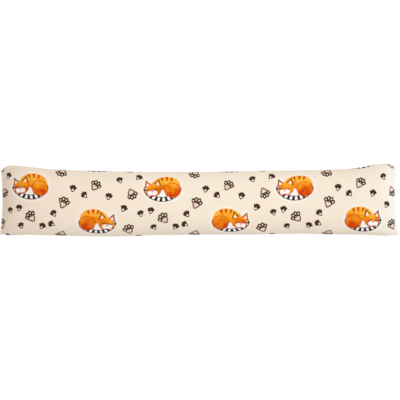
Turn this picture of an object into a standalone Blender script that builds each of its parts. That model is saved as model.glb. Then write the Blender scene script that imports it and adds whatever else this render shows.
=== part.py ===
"""Draught excluder: a long stuffed cushion that lies on its back, with its printed face up.

One panel of short-pile cloth is folded lengthways along the upper edge, sewn together along the lower
edge and across both ends, turned and stuffed. The cover and its filling are one solid.
+X runs along the length, +Y towards the folded edge and +Z up. The floor is at z = 0.
"""

import math
from collections import namedtuple

import bmesh
import bpy
from mathutils import Vector

MM = 0.001

# Driving sizes, in metres.
LENGTH = 0.900
CELLS_ALONG = 50
CELLS_ACROSS = 10

# The end seams lie flat, and the stuffing lifts the cloth from them over this length at either end.
LEFT_RISE = 0.150
RIGHT_RISE = 0.185
RISE_START = 2.6
RISE_POWER = 0.56
END_BOW = 0.0052  # how far the stuffing draws the middle of an end seam inwards
CORNER_SETTLE = 0.0023  # how far the rounding of the cage draws a corner in, and the sewn long edge
EDGE_SETTLE = 0.0008
UPPER_CORNER_LEFT = 0.4462  # half lengths at the folded edge and at the sewn one
UPPER_CORNER_RIGHT = 0.4440
LOWER_CORNER = LENGTH / 2
CORNER_ROUND = 0.010
CORNER_CUT = 0.005

# A seam is a shallow valley between two lips of turned cloth. The folded edge has none.
LIP = 0.0022
VALLEY = 0.0012
LONG_SEAM_PINCH = 0.0020
FLOOR_PRESS = 0.004  # the weight spreads the back until this depth of it lies flat

# The height of the side edge, as a share of the crown, and of the end seams.
SIDE_SHARE = 0.43
END_SEAM_HEIGHT = 0.024
CORNER_HEIGHT = 0.011

# The roundness of a cross-section: 2 is an ellipse, more is fuller and less is leaner.
FRONT_FULLNESS = 2.25
BACK_FULLNESS = 2.6
END_FULLNESS = 1.75

# The outline from above and the crown, in millimetres, at places along the length.
Station = namedtuple("Station", "along upper lower crown")
STATIONS = (
    Station(-450, 78.0, 82.4, 66.0),
    Station(-425, 79.0, 80.6, 66.0),
    Station(-394, 76.2, 78.8, 66.5),
    Station(-337, 71.2, 80.0, 67.0),
    Station(-277, 68.5, 81.0, 64.2),
    Station(-201, 66.3, 82.6, 66.8),
    Station(-150, 65.5, 82.0, 66.0),
    Station(-104, 65.2, 79.4, 63.8),
    Station(-40, 65.8, 79.2, 66.2),
    Station(38, 65.3, 78.2, 64.4),
    Station(96, 66.6, 78.4, 66.8),
    Station(140, 67.7, 78.0, 66.4),
    Station(221, 68.2, 75.9, 64.2),
    Station(299, 70.4, 77.9, 66.4),
    Station(352, 73.6, 78.2, 65.0),
    Station(385, 78.4, 78.8, 65.4),
    Station(412, 82.2, 81.4, 66.0),
    Station(450, 83.0, 82.8, 66.0),
)

# Soft folds of the cloth, in millimetres and degrees: the middle of each, from above, its half length and
# half width, the turn of its line from +X, and its height, which is negative for a trough. The back,
# spread by the floor, has the same folds at a share of their height.
BACK_FOLDS = 0.5
Fold = namedtuple("Fold", "along across reach width turn height")
FRONT_FOLDS = (
    Fold(-414, 50, 34, 9, -38, -3.4),
    Fold(-398, 62, 30, 8, -32, 2.2),
    Fold(-412, -54, 36, 9, 36, -3.2),
    Fold(-392, -60, 26, 8, 52, 2.0),
    Fold(-346, 44, 30, 10, 74, -2.6),
    Fold(-330, -58, 26, 9, -68, -2.4),
    Fold(-277, 40, 42, 15, 86, -2.4),
    Fold(-236, -56, 26, 11, -78, -2.0),
    Fold(-172, 48, 24, 12, 80, -1.6),
    Fold(-104, -46, 36, 13, 96, -2.6),
    Fold(-52, 46, 26, 12, 100, -1.6),
    Fold(38, 4, 54, 17, 88, -1.8),
    Fold(96, -58, 22, 11, 76, -1.8),
    Fold(158, 46, 26, 12, 94, -1.6),
    Fold(221, -42, 38, 14, 82, -2.4),
    Fold(286, 50, 26, 11, 102, -2.2),
    Fold(331, -54, 28, 10, 66, -2.2),
    Fold(352, 46, 32, 11, 108, -3.0),
    Fold(404, 56, 34, 9, 36, -3.2),
    Fold(388, 66, 26, 8, 30, 2.0),
    Fold(410, -54, 36, 9, -36, -3.4),
    Fold(392, -64, 28, 8, -28, 2.2),
)

# Pleats that fan out from the end seams: how many across an end, their height and how far they reach.
PLEATS = 5
PLEAT_PHASE = 0.6
PLEAT_HEIGHT = 0.0016
PLEAT_REACH = 0.042

CLOTH_COLOUR = (0.87, 0.79, 0.67, 1.0)
CLOTH_ROUGHNESS = 0.95


def new_collection(name):
    collection = bpy.data.collections.new(name)
    bpy.context.scene.collection.children.link(collection)
    return collection


def fleece_material():
    material = bpy.data.materials.new("printed_fleece")
    material.use_nodes = True
    shader = material.node_tree.nodes["Principled BSDF"]
    shader.inputs["Base Color"].default_value = CLOTH_COLOUR
    shader.inputs["Roughness"].default_value = CLOTH_ROUGHNESS
    shader.inputs["Metallic"].default_value = 0.0
    shader.inputs["Sheen Weight"].default_value = 0.3
    return material


def smooth_through(rows, column, along):
    """A smooth curve through one column of the stations, at a place along the length in millimetres."""
    places = [row.along for row in rows]
    values = [getattr(row, column) for row in rows]
    along = min(max(along, places[0]), places[-1])
    after = next(i for i in range(1, len(places)) if along <= places[i])
    before = after - 1

    def slope(i):
        low, high = max(i - 1, 0), min(i + 1, len(places) - 1)
        return (values[high] - values[low]) / (places[high] - places[low])

    step = places[after] - places[before]
    t = (along - places[before]) / step
    return (
        values[before] * (1 + 2 * t) * (1 - t) ** 2
        + slope(before) * step * t * (1 - t) ** 2
        + values[after] * t * t * (3 - 2 * t)
        + slope(after) * step * t * t * (t - 1)
    )


def end_x(end, across):
    """Where an end seam lies, end being -1 or 1 and across -1 at the sewn edge and 1 at the folded one."""
    upper = UPPER_CORNER_LEFT if end < 0 else UPPER_CORNER_RIGHT
    straight = LOWER_CORNER + (upper - LOWER_CORNER) * (across + 1) / 2
    return end * (straight + CORNER_SETTLE - END_BOW * (1 - across * across))


def rise(distance, length):
    """How far the stuffing has lifted the cloth, from 0 on an end seam to 1 this length from it."""
    share = min(distance / length, 1.0)
    return (1 - (1 - share) ** RISE_START) ** RISE_POWER


def fold_height(folds, x, y):
    total = 0.0
    for fold in folds:
        dx = x / MM - fold.along
        dy = y / MM - fold.across
        turn = math.radians(fold.turn)
        down = dx * math.cos(turn) + dy * math.sin(turn)
        off = dy * math.cos(turn) - dx * math.sin(turn)
        total += fold.height * math.exp(-((down / fold.reach) ** 2) - (off / fold.width) ** 2)
    return total * MM


def pleat_height(distance, across):
    """Pleats fan out from an end seam, and fade towards the corners and the stuffed middle."""
    fade = math.exp(-distance / PLEAT_REACH) * min(distance / (PLEAT_REACH / 4), 1.0)
    return PLEAT_HEIGHT * math.cos(PLEATS * math.pi * across + PLEAT_PHASE) * fade * (1 - across**4)


def place(along, across, side):
    """A point of the cover. along and across run from -1 to 1, and side is 1 on the printed face,
    -1 on the back and 0 in the line where the two meet."""
    left, right = end_x(-1, across), end_x(1, across)
    x = left + (right - left) * (along + 1) / 2
    distance = min(x - left, right - x)
    lifted = rise(distance, LEFT_RISE if x < 0 else RIGHT_RISE)
    upper = smooth_through(STATIONS, "upper", x / MM) * MM
    lower = smooth_through(STATIONS, "lower", x / MM) * MM + EDGE_SETTLE
    crown = smooth_through(STATIONS, "crown", x / MM) * MM
    corner_cut = CORNER_CUT * max(0.0, 1 - distance / CORNER_ROUND) ** 2
    middle, half = (upper - lower) / 2, (upper + lower) / 2 - corner_cut

    seam_height = CORNER_HEIGHT + (END_SEAM_HEIGHT - CORNER_HEIGHT) * (1 - across * across)
    side_height = seam_height + (SIDE_SHARE * crown - seam_height) * lifted
    angle = across * math.pi / 2
    lean = END_FULLNESS + ((FRONT_FULLNESS if side > 0 else BACK_FULLNESS) - END_FULLNESS) * lifted
    out = math.copysign(abs(math.sin(angle)) ** (2 / lean), across)
    up = max(math.cos(angle), 0.0) ** (2 / lean)
    y = middle + half * out
    if side > 0:
        z = side_height + LIP + (crown - side_height - LIP) * lifted * up
    elif side < 0:
        z = side_height - LIP - (side_height + FLOOR_PRESS) * lifted * up
    else:
        z = side_height
        x -= math.copysign(VALLEY, along) * (abs(along) == 1)
        y += (VALLEY + LONG_SEAM_PINCH) * (across == -1)

    if side:
        push = fold_height(FRONT_FOLDS, x, y * side) * lifted * (1.0 if side > 0 else BACK_FOLDS)
        push += pleat_height(distance, across)
        y += push * math.sin(angle)
        z += push * math.cos(angle) * side
    return Vector((x, y, max(z, 0.0)))


def stuffed_cover(collection):
    """The cage is a flat grid drawn down into a slab, whose points are then placed on the cushion."""
    mesh = bmesh.new()
    bmesh.ops.create_grid(mesh, x_segments=CELLS_ALONG, y_segments=CELLS_ACROSS, size=1.0)
    for vertex in mesh.verts:
        vertex.co.z = 1.0
    drawn = bmesh.ops.extrude_face_region(mesh, geom=list(mesh.faces))["geom"]
    for element in drawn:
        if isinstance(element, bmesh.types.BMVert):
            element.co.z = -1.0
    walls = [e for e in mesh.edges if abs(e.verts[0].co.z - e.verts[1].co.z) > 1]
    bmesh.ops.subdivide_edges(mesh, edges=walls, cuts=1, use_grid_fill=True)
    for vertex in mesh.verts:
        along, across, side = (round(value, 4) for value in vertex.co)
        vertex.co = place(along, across, side)
    bmesh.ops.recalc_face_normals(mesh, faces=mesh.faces)
    data = bpy.data.meshes.new("stuffed_cover")
    mesh.to_mesh(data)
    mesh.free()
    data.shade_smooth()
    data.materials.append(fleece_material())
    cover = bpy.data.objects.new("stuffed_cover", data)
    collection.objects.link(cover)
    rounding = cover.modifiers.new("rounding", "SUBSURF")
    rounding.levels = 1
    rounding.render_levels = 1
    return cover


def main():
    for obj in list(bpy.data.objects):
        bpy.data.objects.remove(obj)
    stuffed_cover(new_collection("draught_excluder"))


main()
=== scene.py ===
"""A stuffed draught excluder in printed short-pile cloth, lying on its back on a white floor.

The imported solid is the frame. The cover is laid on it as one folded panel, settled as cloth, and printed.
+X runs along the cushion, +Y towards its folded edge and +Z up. The camera looks straight down.
"""

import math

import bpy
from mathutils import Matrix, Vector, noise


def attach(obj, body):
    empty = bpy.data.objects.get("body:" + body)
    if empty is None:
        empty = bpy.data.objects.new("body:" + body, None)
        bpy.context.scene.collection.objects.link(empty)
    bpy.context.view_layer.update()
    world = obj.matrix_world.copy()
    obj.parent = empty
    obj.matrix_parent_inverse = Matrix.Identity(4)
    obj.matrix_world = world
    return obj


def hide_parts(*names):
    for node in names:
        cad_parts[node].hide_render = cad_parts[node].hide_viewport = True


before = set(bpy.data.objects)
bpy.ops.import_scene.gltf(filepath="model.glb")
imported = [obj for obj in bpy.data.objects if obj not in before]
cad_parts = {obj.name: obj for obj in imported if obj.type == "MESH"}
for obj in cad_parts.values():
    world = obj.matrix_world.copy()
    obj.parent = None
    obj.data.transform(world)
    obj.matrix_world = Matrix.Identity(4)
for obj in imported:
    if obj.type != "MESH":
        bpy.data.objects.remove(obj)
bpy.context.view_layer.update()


# The stuffing. Loose polyester pushed into the sewn cover and patted into an even crown. Its form is the
# frame's solid, rounded once more, with its bowed end seams drawn straight while the cloth is laid on it.
HALF_LENGTH = 0.4531
HALF_WIDTH = 0.080
END_TAPER = {-1: 0.0008, 1: 0.0036}  # how much shorter each end, left and right, is at its folded corner
END_BOW = 0.0066  # how far the stuffing draws the middle of an end seam inwards
FOLD_EASE = 1.018  # the folded edge is laid this much wider, because it draws in again as it settles
SAME_POINT = 1e-6  # points of the solid's triangles that are nearer than this are one point


def end_seam(x, y):
    """How far from the middle the end seam on this side lies, at this place across the cushion."""
    across = max(-1.0, min(y / HALF_WIDTH, 1.0))
    taper = END_TAPER[-1 if x < 0 else 1]
    return HALF_LENGTH - taper * (across + 1) / 2 - END_BOW * (1 - across * across)


bpy.ops.object.select_all(action="DESELECT")
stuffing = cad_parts["stuffed_cover"].copy()
stuffing.data = stuffing.data.copy()
stuffing.parent = None
bpy.context.scene.collection.objects.link(stuffing)
stuffing.select_set(True)
bpy.context.view_layer.objects.active = stuffing
bpy.ops.object.mode_set(mode="EDIT")
bpy.ops.mesh.select_all(action="SELECT")
bpy.ops.mesh.remove_doubles(threshold=SAME_POINT)
bpy.ops.mesh.tris_convert_to_quads()
bpy.ops.object.mode_set(mode="OBJECT")
rounding = stuffing.modifiers.new("rounding", "SUBSURF")
rounding.levels = 1
rounding.render_levels = 1
bpy.ops.object.modifier_apply(modifier="rounding")
for vertex in stuffing.data.vertices:
    vertex.co.x *= HALF_LENGTH / end_seam(vertex.co.x, vertex.co.y)
    vertex.co.y *= FOLD_EASE if vertex.co.y > 0 else 1
stuffing.data.update()


# The cover's panel. One piece of short-pile cloth, folded lengthways along the upper edge and sewn to itself
# along the lower one. Its rows run along the cushion and its columns go once round it, from seam to seam.
CELLS_LONG = 190
CELLS_ROUND = 72
PANEL_LENGTH = 0.922
PANEL_WIDTH = 0.357
LAST_COLUMN = 0.4485  # how far from the middle the last column before an end seam lies

# The corners are poked out with a point when the cover is turned: how far on the sewn side and on the folded
# side of each end, over how many columns, and how closely the pull keeps to the corner.
CORNER_PULL = {-1: (0.0045, 0.0), 1: (0.0050, 0.0030)}
CORNER_COLUMNS = 4
CORNER_POWER = 8

# The stuffing is felt by straight lines from far away: its sides at even heights, its front and back at many
# spots across but for the last few at either edge, where the solid has the lips of its seam.
FAR = 1.0
FEEL_STEP = 0.004
FEEL_STEPS = 12
SPOTS_LONG = 600
SPOTS_ACROSS = 100
EDGE_SPOTS = 7


def felt(start, direction):
    """The point of the stuffing that a straight line meets first, in a list, or an empty list."""
    hit, place, _, _ = stuffing.ray_cast(Vector(start), Vector(direction))
    return [place] if hit else []


def spaced(points, count):
    """count + 1 points at even distances along a line of points."""
    lengths = [0.0]
    for before, after in zip(points, points[1:]):
        lengths.append(lengths[-1] + (after - before).length)
    spots, at = [], 0
    for step in range(count + 1):
        length = lengths[-1] * step / count
        while at < len(points) - 2 and lengths[at + 1] < length:
            at += 1
        share = (length - lengths[at]) / (lengths[at + 1] - lengths[at])
        spots.append(points[at].lerp(points[at + 1], share))
    return spots


def round_the_stuffing(x):
    """The line in which the cloth goes round the stuffing at x, over the front from the sewn edge."""
    heights = [FEEL_STEP * step for step in range(1, FEEL_STEPS + 1)]
    near = min((p for z in heights for p in felt((x, -FAR, z), (0, 1, 0))), key=lambda p: p.y)
    far = max((p for z in heights for p in felt((x, FAR, z), (0, -1, 0))), key=lambda p: p.y)
    middle = (near.y + far.y) / 2
    half = (far.y - near.y) / 2
    steps = range(EDGE_SPOTS, SPOTS_ACROSS - EDGE_SPOTS + 1)
    across = [middle - half * math.cos(math.pi * step / SPOTS_ACROSS) for step in steps]
    front = [p for y in across for p in felt((x, y, FAR), (0, 0, -1))]
    back = [p for y in reversed(across) for p in felt((x, y, -FAR), (0, 0, 1))]
    near.z = (front[0].z + back[-1].z) / 2
    far.z = (front[-1].z + back[0].z) / 2
    return [near, *front, far, *back, near]


top_line = []
for step in range(SPOTS_LONG + 1):
    top_line += felt((LAST_COLUMN * (2 * step / SPOTS_LONG - 1), 0, FAR), (0, 0, -1))
rings = [spaced(round_the_stuffing(place.x), CELLS_ROUND) for place in spaced(top_line, CELLS_LONG - 2)]
end_rings = []
for end, ring in ((-1, rings[0]), (1, rings[-1])):
    sewn_flat = [(front + back) / 2 for front, back in zip(ring, reversed(ring))]
    for place in sewn_flat:
        place.x = end * HALF_LENGTH
    end_rings.append(sewn_flat)
rings = [end_rings[0], *rings, end_rings[1]]
for end, columns in ((-1, rings), (1, rings[::-1])):
    sewn_pull, fold_pull = CORNER_PULL[end]
    for from_end in range(CORNER_COLUMNS):
        fade = (1 - from_end / CORNER_COLUMNS) ** 2
        for turn, place in enumerate(columns[from_end]):
            to_fold = min(turn, CELLS_ROUND - turn) * 2 / CELLS_ROUND
            pull = fold_pull * to_fold**CORNER_POWER - sewn_pull * (1 - to_fold) ** CORNER_POWER
            place.y += fade * pull
for ring in rings:
    for place in ring:
        place.x *= end_seam(place.x, place.y) / HALF_LENGTH
bpy.data.objects.remove(stuffing)

bpy.ops.mesh.primitive_grid_add(x_subdivisions=CELLS_LONG, y_subdivisions=CELLS_ROUND, size=1)
cover = bpy.context.object
cover.name = "printed_cover"
cover.data.name = "printed_cover"
cut_flat = []
for vertex in cover.data.vertices:
    column = round((vertex.co.x + 0.5) * CELLS_LONG)
    turn = round((vertex.co.y + 0.5) * CELLS_ROUND)
    folded = PANEL_WIDTH * (0.25 - abs(turn / CELLS_ROUND - 0.5))
    cut_flat.append(Vector((vertex.co.x * PANEL_LENGTH, folded, 0)))
    vertex.co = rings[column][turn]
panel = cover.data.uv_layers[0]
panel.name = "panel"
for corner in panel.data:
    corner.uv = ((corner.uv.x - 0.5) * PANEL_LENGTH, corner.uv.y * PANEL_WIDTH)


# Sewing and settling. The stitches draw the panel's seams up a little, so spare cloth gathers into small
# puckers beside them, and the stuffing holds the cloth elsewhere. The three holds are how firmly a point
# stays where it was laid: on the stuffing, beside a seam and on one.
STUFFING_HOLD = 0.09
SEAM_HOLD = 0.06
STITCH_HOLD = 0.3
STITCH_REACH = 0.003
SPARE_CLOTH = 0.10  # the share of spare cloth that the drawn-up stitches leave beside a seam
PUCKER_REACH = 0.016
FOLD_SHARE = 0.35  # the folded edge puckers this much as strongly as a seam
SETTLE_FRAMES = 24
MOST_MOVE = 0.008
SEAM_SHARPNESS = 0.7
SEWN_GAP = 1e-5  # points of the panel that are laid nearer than this are sewn together
ON_SEAM = 1e-4  # points this near to the panel's ends lie on their seams

cover.shape_key_add(name="laid")
cut = cover.shape_key_add(name="cut")
for point, place in zip(cut.data, cut_flat):
    point.co = place
bpy.ops.object.mode_set(mode="EDIT")
bpy.ops.mesh.select_all(action="SELECT")
bpy.ops.mesh.remove_doubles(threshold=SEWN_GAP)
bpy.ops.object.mode_set(mode="OBJECT")
laid = [vertex.co.copy() for vertex in cover.data.vertices]
settled = laid
hold = cover.vertex_groups.new(name="hold")
spare = cover.vertex_groups.new(name="spare")
for number, point in enumerate(cover.data.shape_keys.key_blocks["cut"].data):
    from_end = PANEL_LENGTH / 2 - abs(point.co.x)
    from_seam = PANEL_WIDTH / 4 + point.co.y
    from_fold = PANEL_WIDTH / 4 - point.co.y
    gather = math.exp(-((min(from_end, from_seam) / PUCKER_REACH) ** 2))
    gather = max(gather, FOLD_SHARE * math.exp(-((from_fold / PUCKER_REACH) ** 2)))
    held = STUFFING_HOLD + (SEAM_HOLD - STUFFING_HOLD) * gather
    if min(from_end, from_seam) < STITCH_REACH:
        held = STITCH_HOLD
    hold.add([number], held, "REPLACE")
    spare.add([number], gather, "REPLACE")
cloth = cover.modifiers.new("cloth", "CLOTH")
cloth.settings.quality = 5
cloth.settings.mass = 0.1
cloth.settings.tension_stiffness = 40
cloth.settings.compression_stiffness = 40
cloth.settings.shear_stiffness = 15
cloth.settings.bending_stiffness = 0.3
cloth.settings.air_damping = 3
cloth.settings.vertex_group_mass = "hold"
cloth.settings.vertex_group_shrink = "spare"
cloth.settings.shrink_min = 0.0
cloth.settings.shrink_max = -SPARE_CLOTH
cloth.settings.rest_shape_key = cover.data.shape_keys.key_blocks["cut"]
cloth.settings.use_pressure = True
cloth.settings.uniform_pressure_force = 3
cloth.settings.effector_weights.gravity = 0
cloth.collision_settings.use_collision = False
cloth.point_cache.frame_end = SETTLE_FRAMES
for number in range(1, SETTLE_FRAMES + 1):
    bpy.context.scene.frame_set(number)
graph = bpy.context.evaluated_depsgraph_get()
settled = [vertex.co.copy() for vertex in cover.evaluated_get(graph).data.vertices]
cover.modifiers.remove(cloth)
point_on_panel = [tuple(point.co) for point in cover.data.shape_keys.key_blocks["cut"].data]
cover.shape_key_clear()
for vertex, before, after in zip(cover.data.vertices, laid, settled):
    move = after - before
    move *= MOST_MOVE / max(move.length, MOST_MOVE)
    vertex.co = before + move
    vertex.co.z = max(vertex.co.z, 0.0)

bpy.ops.object.mode_set(mode="EDIT")
bpy.ops.mesh.select_all(action="DESELECT")
bpy.ops.object.mode_set(mode="OBJECT")
for edge in cover.data.edges:
    edge.select = all(abs(point_on_panel[number][0]) > PANEL_LENGTH / 2 - ON_SEAM for number in edge.vertices)
bpy.ops.object.mode_set(mode="EDIT")
bpy.ops.transform.edge_crease(value=SEAM_SHARPNESS)
bpy.ops.object.mode_set(mode="OBJECT")
softness = cover.modifiers.new("softness", "SUBSURF")
softness.levels = 1
softness.render_levels = 1
bpy.ops.object.modifier_apply(modifier="softness")
cover.data.shade_smooth()

# Each seam line sinks between two rounded lips of turned cloth, which the stitches nip at even distances.
LIP_AWAY = 0.0034
LIP_WIDTH = 0.0023
LIP_HEIGHT = 0.0009
GROOVE_WIDTH = 0.0016
GROOVE_DEPTH = 0.0009
NIP_LENGTH = 0.0095
NIP_SHARE = 0.45
NIP_WANDER = 4  # how unevenly the nips are spaced, and how often that changes along and away from a seam
WANDER_DOWN = 30
WANDER_AWAY = 20

places = {}
for loop, corner in zip(cover.data.loops, cover.data.uv_layers["panel"].data):
    places[loop.vertex_index] = corner.uv.copy()
lifts = []
for vertex in cover.data.vertices:
    along, around = places[vertex.index]
    from_end = PANEL_LENGTH / 2 - abs(along)
    from_seam = min(around, PANEL_WIDTH - around)
    away, down = (from_seam, along) if from_seam < from_end else (from_end, abs(around - PANEL_WIDTH / 2))
    wander = NIP_WANDER * noise.noise(Vector((down * WANDER_DOWN, away * WANDER_AWAY, 0)))
    nip = 1 + NIP_SHARE * math.sin(math.tau * down / NIP_LENGTH + wander)
    lip = LIP_HEIGHT * nip * math.exp(-(((away - LIP_AWAY) / LIP_WIDTH) ** 2))
    lifts.append(lip - GROOVE_DEPTH * math.exp(-((away / GROOVE_WIDTH) ** 2)))
normals = [vertex.normal.copy() for vertex in cover.data.vertices]
for vertex, normal, lift in zip(cover.data.vertices, normals, lifts):
    vertex.co += normal * lift
    vertex.co.z = max(vertex.co.z, 0.0)
cover.data.update()


# The print. Sleeping ginger cats with ringed tails, and brown paw prints between them, in a half-drop repeat
# on cream pile. It is drawn on the panel's own coordinates, in millimetres, so it turns under with the cloth.
class Wire:
    """A shader socket, on which Python's own operators add the Math nodes."""

    tree = None

    def __init__(self, socket):
        self.socket = socket

    @classmethod
    def node(cls, kind, values, output=0, **settings):
        """One new node: its settings, then the values or wires of its sockets, by name or number."""
        made = cls.tree.nodes.new(kind)
        for name, setting in settings.items():
            setattr(made, name, setting)
        for name, value in values.items():
            if isinstance(value, Wire):
                cls.tree.links.new(value.socket, made.inputs[name])
            else:
                made.inputs[name].default_value = value
        return cls(made.outputs[output])

    def maths(self, operation, *others):
        return Wire.node("ShaderNodeMath", dict(enumerate((self, *others))), operation=operation)

    def __add__(self, other):
        return self.maths("ADD", other)

    __radd__ = __add__

    def __sub__(self, other):
        return self.maths("SUBTRACT", other)

    def __rsub__(self, other):
        return Wire.node("ShaderNodeMath", {0: other, 1: self}, operation="SUBTRACT")

    def __mul__(self, other):
        return self.maths("MULTIPLY", other)

    def __truediv__(self, other):
        return self.maths("DIVIDE", other)

    def inside(self, blur=0.7):
        """1 where a distance is below 0 and 0 above, with the pile's soft edge between."""
        values = {"Value": self, "From Min": -blur, "From Max": blur, "To Min": 1.0, "To Max": 0.0}
        return Wire.node("ShaderNodeMapRange", values, interpolation_type="SMOOTHSTEP")

    def share(self, low, high):
        """How far a value has come from low to high, from 0 to 1."""
        return Wire.node("ShaderNodeMapRange", {"Value": self, "From Min": low, "From Max": high})


def vector(operation, first, second=(0, 0, 0), third=(0, 0, 0), output=0):
    values = {0: first, 1: second, 2: third}
    return Wire.node("ShaderNodeVectorMath", values, output, operation=operation)


def scaled(point, factor):
    return Wire.node("ShaderNodeVectorMath", {0: point, "Scale": factor}, operation="SCALE")


def along_and_up(point):
    return tuple(Wire.node("ShaderNodeSeparateXYZ", {0: point}, output) for output in (0, 1))


def printed(under, ink, mask):
    """One colour printed over another where the mask is 1."""
    return Wire.node("ShaderNodeMix", {0: mask, 6: under, 7: ink}, 2, data_type="RGBA")


def fitted(point, middle, radii, turn=0):
    """The point in a shape's own frame, in which its radii are 1."""
    values = {
        "Vector": point,
        "Location": (*middle, 0),
        "Rotation": (0, 0, math.radians(turn)),
        "Scale": (*radii, 1),
    }
    return Wire.node("ShaderNodeMapping", values, vector_type="TEXTURE")


def oval(point, middle, radii, turn=0):
    """How far a point lies outside an oval."""
    return (vector("LENGTH", fitted(point, middle, radii, turn), output=1) - 1) * min(radii)


KITE_SLOPE = 0.85  # a kite's slanted sides lie this much as far from its middle as its nearer points


def kite(point, middle, radii, turn=0):
    """How far a point lies outside a four-cornered kite."""
    along, up = along_and_up(vector("ABSOLUTE", fitted(point, middle, radii, turn)))
    return (along + up - 1) * (min(radii) * KITE_SLOPE)


def joined(shapes, softness=0.0):
    """How far a point lies outside all of some shapes, which run softly into each other."""
    whole = shapes[0]
    for shape in shapes[1:]:
        whole = whole.maths("SMOOTH_MIN", shape, softness)
    return whole


PILE_CREAM = (0.90, 0.79, 0.645, 1)
HALO_WHITE = (0.95, 0.88, 0.78, 1)
CAT_GOLD = (1.0, 0.47, 0.04, 1)
CAT_ORANGE = (0.90, 0.27, 0.004, 1)
CAT_RUST = (0.62, 0.055, 0.0015, 1)
CAT_WHITE = (0.94, 0.91, 0.87, 1)
INK_BLACK = (0.022, 0.014, 0.012, 1)
INK_BROWN = (0.055, 0.018, 0.008, 1)
PAD_PINK = (0.88, 0.63, 0.50, 1)
NOSE_PINK = (0.86, 0.22, 0.18, 1)
MM = 1000.0
DROP = 75.0  # half the repeat, both ways
START = (155.0, -50.0, 0)  # where on the repeat the middle of the sewn edge lies
STIR = 1.5  # how far the pile stirs the edges of the print

fleece = bpy.data.materials.new("printed_fleece")
fleece.use_nodes = True
Wire.tree = fleece.node_tree
on_panel = Wire.node("ShaderNodeUVMap", {}, uv_map="panel")
stir = Wire.node("ShaderNodeTexNoise", {"Vector": on_panel, "Scale": 420.0, "Detail": 2.0}, 1)
stir = vector("MULTIPLY", vector("SUBTRACT", stir, (0.5, 0.5, 0.5)), (STIR, STIR, 0))
cloth_mm = vector("MULTIPLY_ADD", on_panel, (MM, MM, 0), START)
cloth_mm = vector("ADD", cloth_mm, stir)

# The cats face left and right in turn, every second column dropped by half a repeat.
along, up = along_and_up(cloth_mm)
dropped = (along / (4 * DROP)).maths("FRACT").maths("GREATER_THAN", 0.5)
cat = Wire.node("ShaderNodeCombineXYZ", {0: along, 1: up + dropped * DROP})
cat = vector("WRAP", cat, (2 * DROP, 2 * DROP, 1), (0, 0, -1))
cat = vector("SUBTRACT", cat, (DROP, DROP, 0))
cat = vector("MULTIPLY", cat, Wire.node("ShaderNodeCombineXYZ", {0: 1 - dropped * 2, 1: 1.0}))
cat_up = along_and_up(cat)[1]

# A cat's shapes: the middle of each, its half sizes and its turn, in millimetres and degrees. The tail curls
# under the cat along the lower half of an oval, and narrows at both ends.
TAIL_HALF_WIDTH = 6.0
TAIL_RADIUS = 32.0
TAIL_HEIGHT = 26.0
TAIL_RINGS = 20
back = oval(cat, (5, 5), (33, 23), 6)
haunch = oval(cat, (21, -5), (19, 17), -10)
head = oval(cat, (-22, -5), (18, 14.5), 8)
ears = joined([kite(cat, (-34, 5), (8, 15), 22), kite(cat, (-13, 8), (8, 15), -14)])
ear_tips = joined([oval(cat, (-36, 11), (5, 6)), oval(cat, (-11, 14), (5, 6))])
in_tail = fitted(cat, (-2, 3), (37, 29))
tail_along, tail_up = along_and_up(in_tail)
tail_half = (0.06 - tail_up).share(0, 0.3).maths("SQRT") * TAIL_HALF_WIDTH
tail = (vector("LENGTH", in_tail, output=1) - 1).maths("ABSOLUTE") * TAIL_RADIUS - tail_half
tail = tail.maths("MAXIMUM", tail_up * TAIL_HEIGHT)
tail_rings = (tail_up.maths("ARCTAN2", tail_along) * (TAIL_RINGS / math.tau)).maths("FRACT")
stripes = [oval(cat, (-4, 25), (2.6, 9), 18), oval(cat, (8, 27), (2.8, 10), 2)]
stripes = joined([*stripes, oval(cat, (20, 24), (2.6, 9), -20)])
muzzle = joined([oval(cat, (-29, -11), (7, 5.5)), oval(cat, (-20, -11), (7, 5.5))], 3.0)
eyes = joined([oval(cat, (-31, -2), (4, 4)), oval(cat, (-17, -1), (4, 4))])
eyes = (eyes.maths("ABSOLUTE") - 0.75).maths("MAXIMUM", cat_up + 2.5)
nose = oval(cat, (-24.5, -8), (2.6, 1.9))

# The fur is washed from rust below, through orange, to gold above.
WASH_HEIGHT = 44.0
WASH_PATCHES = 1.5
washes = Wire.node("ShaderNodeTexNoise", {"Vector": on_panel, "Scale": 45.0, "Detail": 3.0})
warmth = cat_up / WASH_HEIGHT + washes * WASH_PATCHES
fur = printed(CAT_RUST, CAT_ORANGE, warmth.share(0.38, 0.80))
fur = printed(fur, CAT_GOLD, warmth.share(0.78, 1.15))

# The pile's shade varies a little in broad patches, and more from fibre to fibre.
PATCH_SHADE = 0.05
FIBRE_SHADE = 0.10
mottle = Wire.node("ShaderNodeTexNoise", {"Vector": on_panel, "Scale": 16.0, "Detail": 2.0})
pile = Wire.node("ShaderNodeTexNoise", {"Vector": on_panel, "Scale": 1800.0, "Detail": 2.0})
shade = 1 - (mottle - 0.5) * PATCH_SHADE - (pile - 0.5) * FIBRE_SHADE

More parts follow.
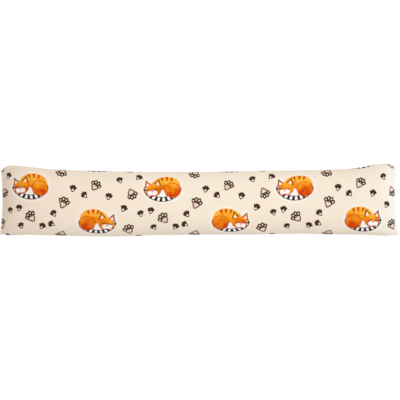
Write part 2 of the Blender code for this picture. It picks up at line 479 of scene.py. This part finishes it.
# The inks, one over another. A number added to a shape draws its edge in, one taken away moves it out, and
# the one that inside() takes is the softness of the edge, all in millimetres.
halo = joined([back, haunch, head, tail, ear_tips], 4.0) - 3.5
colour = printed(PILE_CREAM, HALO_WHITE, halo.inside(4.0))
colour = printed(colour, fur, back.inside(1.6))
colour = printed(colour, CAT_RUST, stripes.maths("MAXIMUM", back + 1).inside(0.9))
colour = printed(colour, CAT_WHITE, oval(cat, (-7, -14), (13, 10), 10).inside(1.5))
colour = printed(colour, INK_BLACK, tail.inside())
tail_white = (tail + 1.8).inside() * tail_rings.maths("LESS_THAN", 0.5)
colour = printed(colour, CAT_WHITE, tail_white)
colour = printed(colour, CAT_RUST, haunch.inside(1.5))
colour = printed(colour, fur, (haunch + 1.6).inside(1.2))
colour = printed(colour, INK_BROWN, ears.inside())
colour = printed(colour, CAT_ORANGE, (ears + 1.8).inside())
colour = printed(colour, CAT_WHITE, (ears + 3.8).inside())
colour = printed(colour, fur, head.inside(1.0))
colour = printed(colour, CAT_WHITE, muzzle.inside(1.0))
colour = printed(colour, INK_BLACK, eyes.inside(0.6))
colour = printed(colour, NOSE_PINK, nose.inside(0.6))

# The paw prints: their places on the repeat, along and up in millimetres, their turn in degrees and their
# size. The large ones are outlined, with a pink pad and light toes, and the small ones are dark.
PAWS = (
    (150, 40, -24, 1.0),
    (146, 112, 158, 1.0),
    (4, 62, 205, 0.95),
    (298, 131, 18, 1.0),
    (76, 6, 38, 1.0),
    (222, 80, -34, 0.95),
    (128, 16, 30, 0.6),
    (171, 72, -12, 0.62),
    (124, 142, 64, 0.6),
    (20, 101, -40, 0.62),
    (277, 94, 20, 0.6),
    (24, 18, 12, 0.58),
    (286, 30, -30, 0.62),
    (47, 24, -10, 0.6),
    (103, 136, -28, 0.62),
    (54, 134, 24, 0.58),
    (197, 58, 42, 0.6),
    (252, 56, -18, 0.62),
)
OUTLINED_SIZE = 0.9
PAW_REACH = 16.0

paw, outlined, solid = (0, 0, 0), 0.0, 0.0
for paw_along, paw_up, turn, size in PAWS:
    near = vector("SUBTRACT", cloth_mm, (paw_along, paw_up, 0))
    near = vector("WRAP", near, (2 * DROP, DROP, 1), (-2 * DROP, -DROP, -1))
    near = fitted(near, (0, 0), (size, size), turn)
    here = vector("LENGTH", near, output=1).maths("LESS_THAN", PAW_REACH)
    paw = vector("ADD", scaled(near, here), paw)
    if size > OUTLINED_SIZE:
        outlined = here + outlined
    else:
        solid = here + solid
pad = [oval(paw, (-2.6, -3.4), (4.4, 4.2)), oval(paw, (2.6, -3.4), (4.4, 4.2))]
pad = joined([*pad, oval(paw, (0, -7.4), (3.4, 4.2))], 2.0)
toes = [oval(paw, (-8.6, 2.4), (3.0, 3.9), 34), oval(paw, (-3.6, 7.2), (3.1, 4.1), 10)]
toes += [oval(paw, (3.0, 7.6), (3.1, 4.1), -8), oval(paw, (8.2, 3.4), (3.0, 3.9), -32)]
edge = joined([pad, *toes])
colour = printed(colour, INK_BROWN, (edge - 1.4).inside(0.6) * (outlined + solid))
colour = printed(colour, PAD_PINK, (pad + 0.9).inside(0.6) * outlined)
colour = printed(colour, HALO_WHITE, (joined(toes) + 1.6).inside(0.6) * outlined)
colour = printed(colour, HALO_WHITE, oval(paw, (0, -5.2), (3.8, 3.4)).inside(0.9) * solid)

# Along the seams the colour is darkened: painted shade of the sunken seam valley, together with the pile that
# the stitches part there.
SEAM_SHADE_WIDTH = 1.3
SEAM_SHADE_STRENGTH = 0.35
panel_along, panel_round = along_and_up(on_panel)
from_end = (panel_along.maths("ABSOLUTE") - PANEL_LENGTH / 2) * -MM
from_seam = ((panel_round - PANEL_WIDTH / 2).maths("ABSOLUTE") - PANEL_WIDTH / 2) * -MM
parted_pile_and_seam_shade = from_end.maths("MINIMUM", from_seam).share(SEAM_SHADE_WIDTH, 0)
# painted shade along the seam lines, multiplied into the pile's colour, partly the parted pile
shade = shade * (1 - parted_pile_and_seam_shade * SEAM_SHADE_STRENGTH)

# The pile itself: soft, dull and slightly velvety, with fine fibres that lie in small tufts.
PILE_DEPTH = 0.0004
FIBRE_RELIEF = 0.5
LEAST_ROUGH = 0.86
FIBRE_ROUGH = 0.12
tufts = Wire.node("ShaderNodeTexNoise", {"Vector": on_panel, "Scale": 700.0, "Detail": 3.0, "Roughness": 0.6})
height = pile * FIBRE_RELIEF + tufts
relief = Wire.node("ShaderNodeBump", {"Height": height, "Strength": 0.3, "Distance": PILE_DEPTH})
surface = fleece.node_tree.nodes["Principled BSDF"]
fleece.node_tree.links.new(scaled(colour, shade).socket, surface.inputs["Base Color"])
fleece.node_tree.links.new(relief.socket, surface.inputs["Normal"])
fleece.node_tree.links.new((LEAST_ROUGH + pile * FIBRE_ROUGH).socket, surface.inputs["Roughness"])
surface.inputs["Specular IOR Level"].default_value = 0.08
surface.inputs["Sheen Weight"].default_value = 0.08
surface.inputs["Sheen Roughness"].default_value = 0.5

cover.data.materials.append(fleece)
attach(cover, "root")
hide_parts("stuffed_cover")


# The studio. A white floor that glows, a soft main light over the middle, two weaker, slightly warm ones
# beyond the long sides, and a faint one at either end: a high red one on the left, a low bluish one on the
# right.
FLOOR_SIZE = 40.0
FLOOR_GREY = (0.2, 0.2, 0.2, 1)
FLOOR_GLOW = 0.88
SKY_GLOW = 0.3
bpy.ops.object.select_all(action="DESELECT")
bpy.ops.mesh.primitive_plane_add(size=FLOOR_SIZE)
floor = bpy.context.object
floor.name = "floor"
white = bpy.data.materials.new("white_floor")
white.use_nodes = True
paint = white.node_tree.nodes["Principled BSDF"]
paint.inputs["Base Color"].default_value = FLOOR_GREY
paint.inputs["Roughness"].default_value = 1.0
paint.inputs["Emission Color"].default_value = (1, 1, 1, 1)
paint.inputs["Emission Strength"].default_value = FLOOR_GLOW
floor.data.materials.append(white)

LIGHTS = (  # the name, the place, the point that it faces, the size, the power and the colour
    ("upper_light", (-0.1, 1.5, 1.5), (-0.1, 0, 0), 1.2, 5.7, (1.0, 0.98, 0.94)),
    ("lower_light", (0.0, -1.5, 1.5), (0, 0, 0), 1.2, 7.0, (1.0, 0.95, 0.93)),
    ("main_light", (0.12, 0.2, 1.4), (0.12, 0, 0), 0.8, 11.3, (0.96, 0.99, 1.0)),
    ("left_light", (-1.6, 0.1, 1.2), (0, 0, 0), 1.2, 2.0, (1.0, 0.1, 0.0)),
    ("right_light", (1.0, 0.0, 0.1), (0.43, 0, 0.03), 0.16, 2.1, (0.6, 0.75, 1.0)),
)
for name, place, aim, size, power, tint in LIGHTS:
    bpy.ops.object.light_add(type="AREA", location=place)
    light = bpy.context.object
    light.name = name
    light.data.size = size
    light.data.energy = power
    light.data.color = tint
    light.visible_camera = False
    light.rotation_euler = (Vector(aim) - Vector(place)).to_track_quat("-Z", "Y").to_euler()

sky = bpy.data.worlds.new("studio")
bpy.context.scene.world = sky
sky.use_nodes = True
sky.node_tree.nodes["Background"].inputs["Color"].default_value = (1, 1, 1, 1)
sky.node_tree.nodes["Background"].inputs["Strength"].default_value = SKY_GLOW
bpy.context.scene.view_settings.view_transform = "Standard"

# The camera looks straight down, level with the cushion's length. Its frame is 904 mm wide at the height of
# the side edges, where the cushion is widest.
FRAME_WIDTH = 0.9040
CAMERA_PLACE = (0.0021, 0.0002, 3.0)
WIDEST_HEIGHT = 0.028
SENSOR = 36.0
bpy.ops.object.camera_add(location=CAMERA_PLACE, rotation=(0, 0, 0))
camera = bpy.context.object
camera.data.sensor_width = SENSOR
camera.data.lens = SENSOR * (CAMERA_PLACE[2] - WIDEST_HEIGHT) / FRAME_WIDTH
bpy.context.scene.camera = camera
